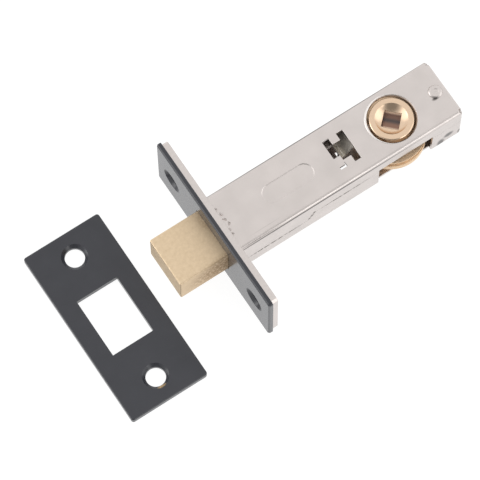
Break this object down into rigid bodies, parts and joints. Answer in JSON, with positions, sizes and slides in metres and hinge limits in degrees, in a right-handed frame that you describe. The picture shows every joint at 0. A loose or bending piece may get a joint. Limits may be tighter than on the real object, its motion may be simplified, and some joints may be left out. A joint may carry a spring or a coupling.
{
  "type": "privacy bolt",
  "caption": "Tubular door privacy bolt: a square spindle turns a hub that slides a rectangular bolt out of a folded case behind a black faceplate, with its flat strike plate.",
  "frame": {"origin": "centre of the faceplate's front face, on the bolt's axis", "axes": "+X back into the door along the bolt, +Y along the faceplate's length, +Z along the hub's spindle axis"},
  "size_m": [0.1239, 0.0577, 0.025],
  "materials": {
    "matt_black": "matt black plating",
    "nickel_plate": "nickel plated, satin",
    "satin_brass": "satin, drawn bar",
    "turned_brass": "turned, bright",
    "plain_steel": "plain, mill",
    "spring_steel": "rolled, bright"
  },
  "bodies": {
    "case": {"strike_plate": "matt_black", "faceplate": "matt_black", "mounting_plate": "nickel_plate", "case_upper": "nickel_plate", "case_lower": "nickel_plate", "rear_rivet": "nickel_plate", "detent_spring": "spring_steel"},
    "bolt": {"bolt_head": "satin_brass", "bolt_tail": "plain_steel", "tail_rivets": "plain_steel", "drive_peg": "plain_steel"},
    "hub": {"hub": "turned_brass"}
  },
  "joints": [
    {"name": "hub_turn", "type": "hinge", "parent": "case", "child": "hub", "pos_m": [0.06, 0, 0], "axis": [0, 0, -1], "range_deg": [0, 100]},
    {"name": "bolt_slide", "type": "slide", "parent": "case", "child": "bolt", "axis": [1, 0, 0], "range_m": [0, 0.01531], "deforming": ["detent_spring"]}
  ],
  "couplings": [
    {"joint": "hub_turn", "follows": "bolt_slide", "rad_per_m": 113.97}
  ]
}
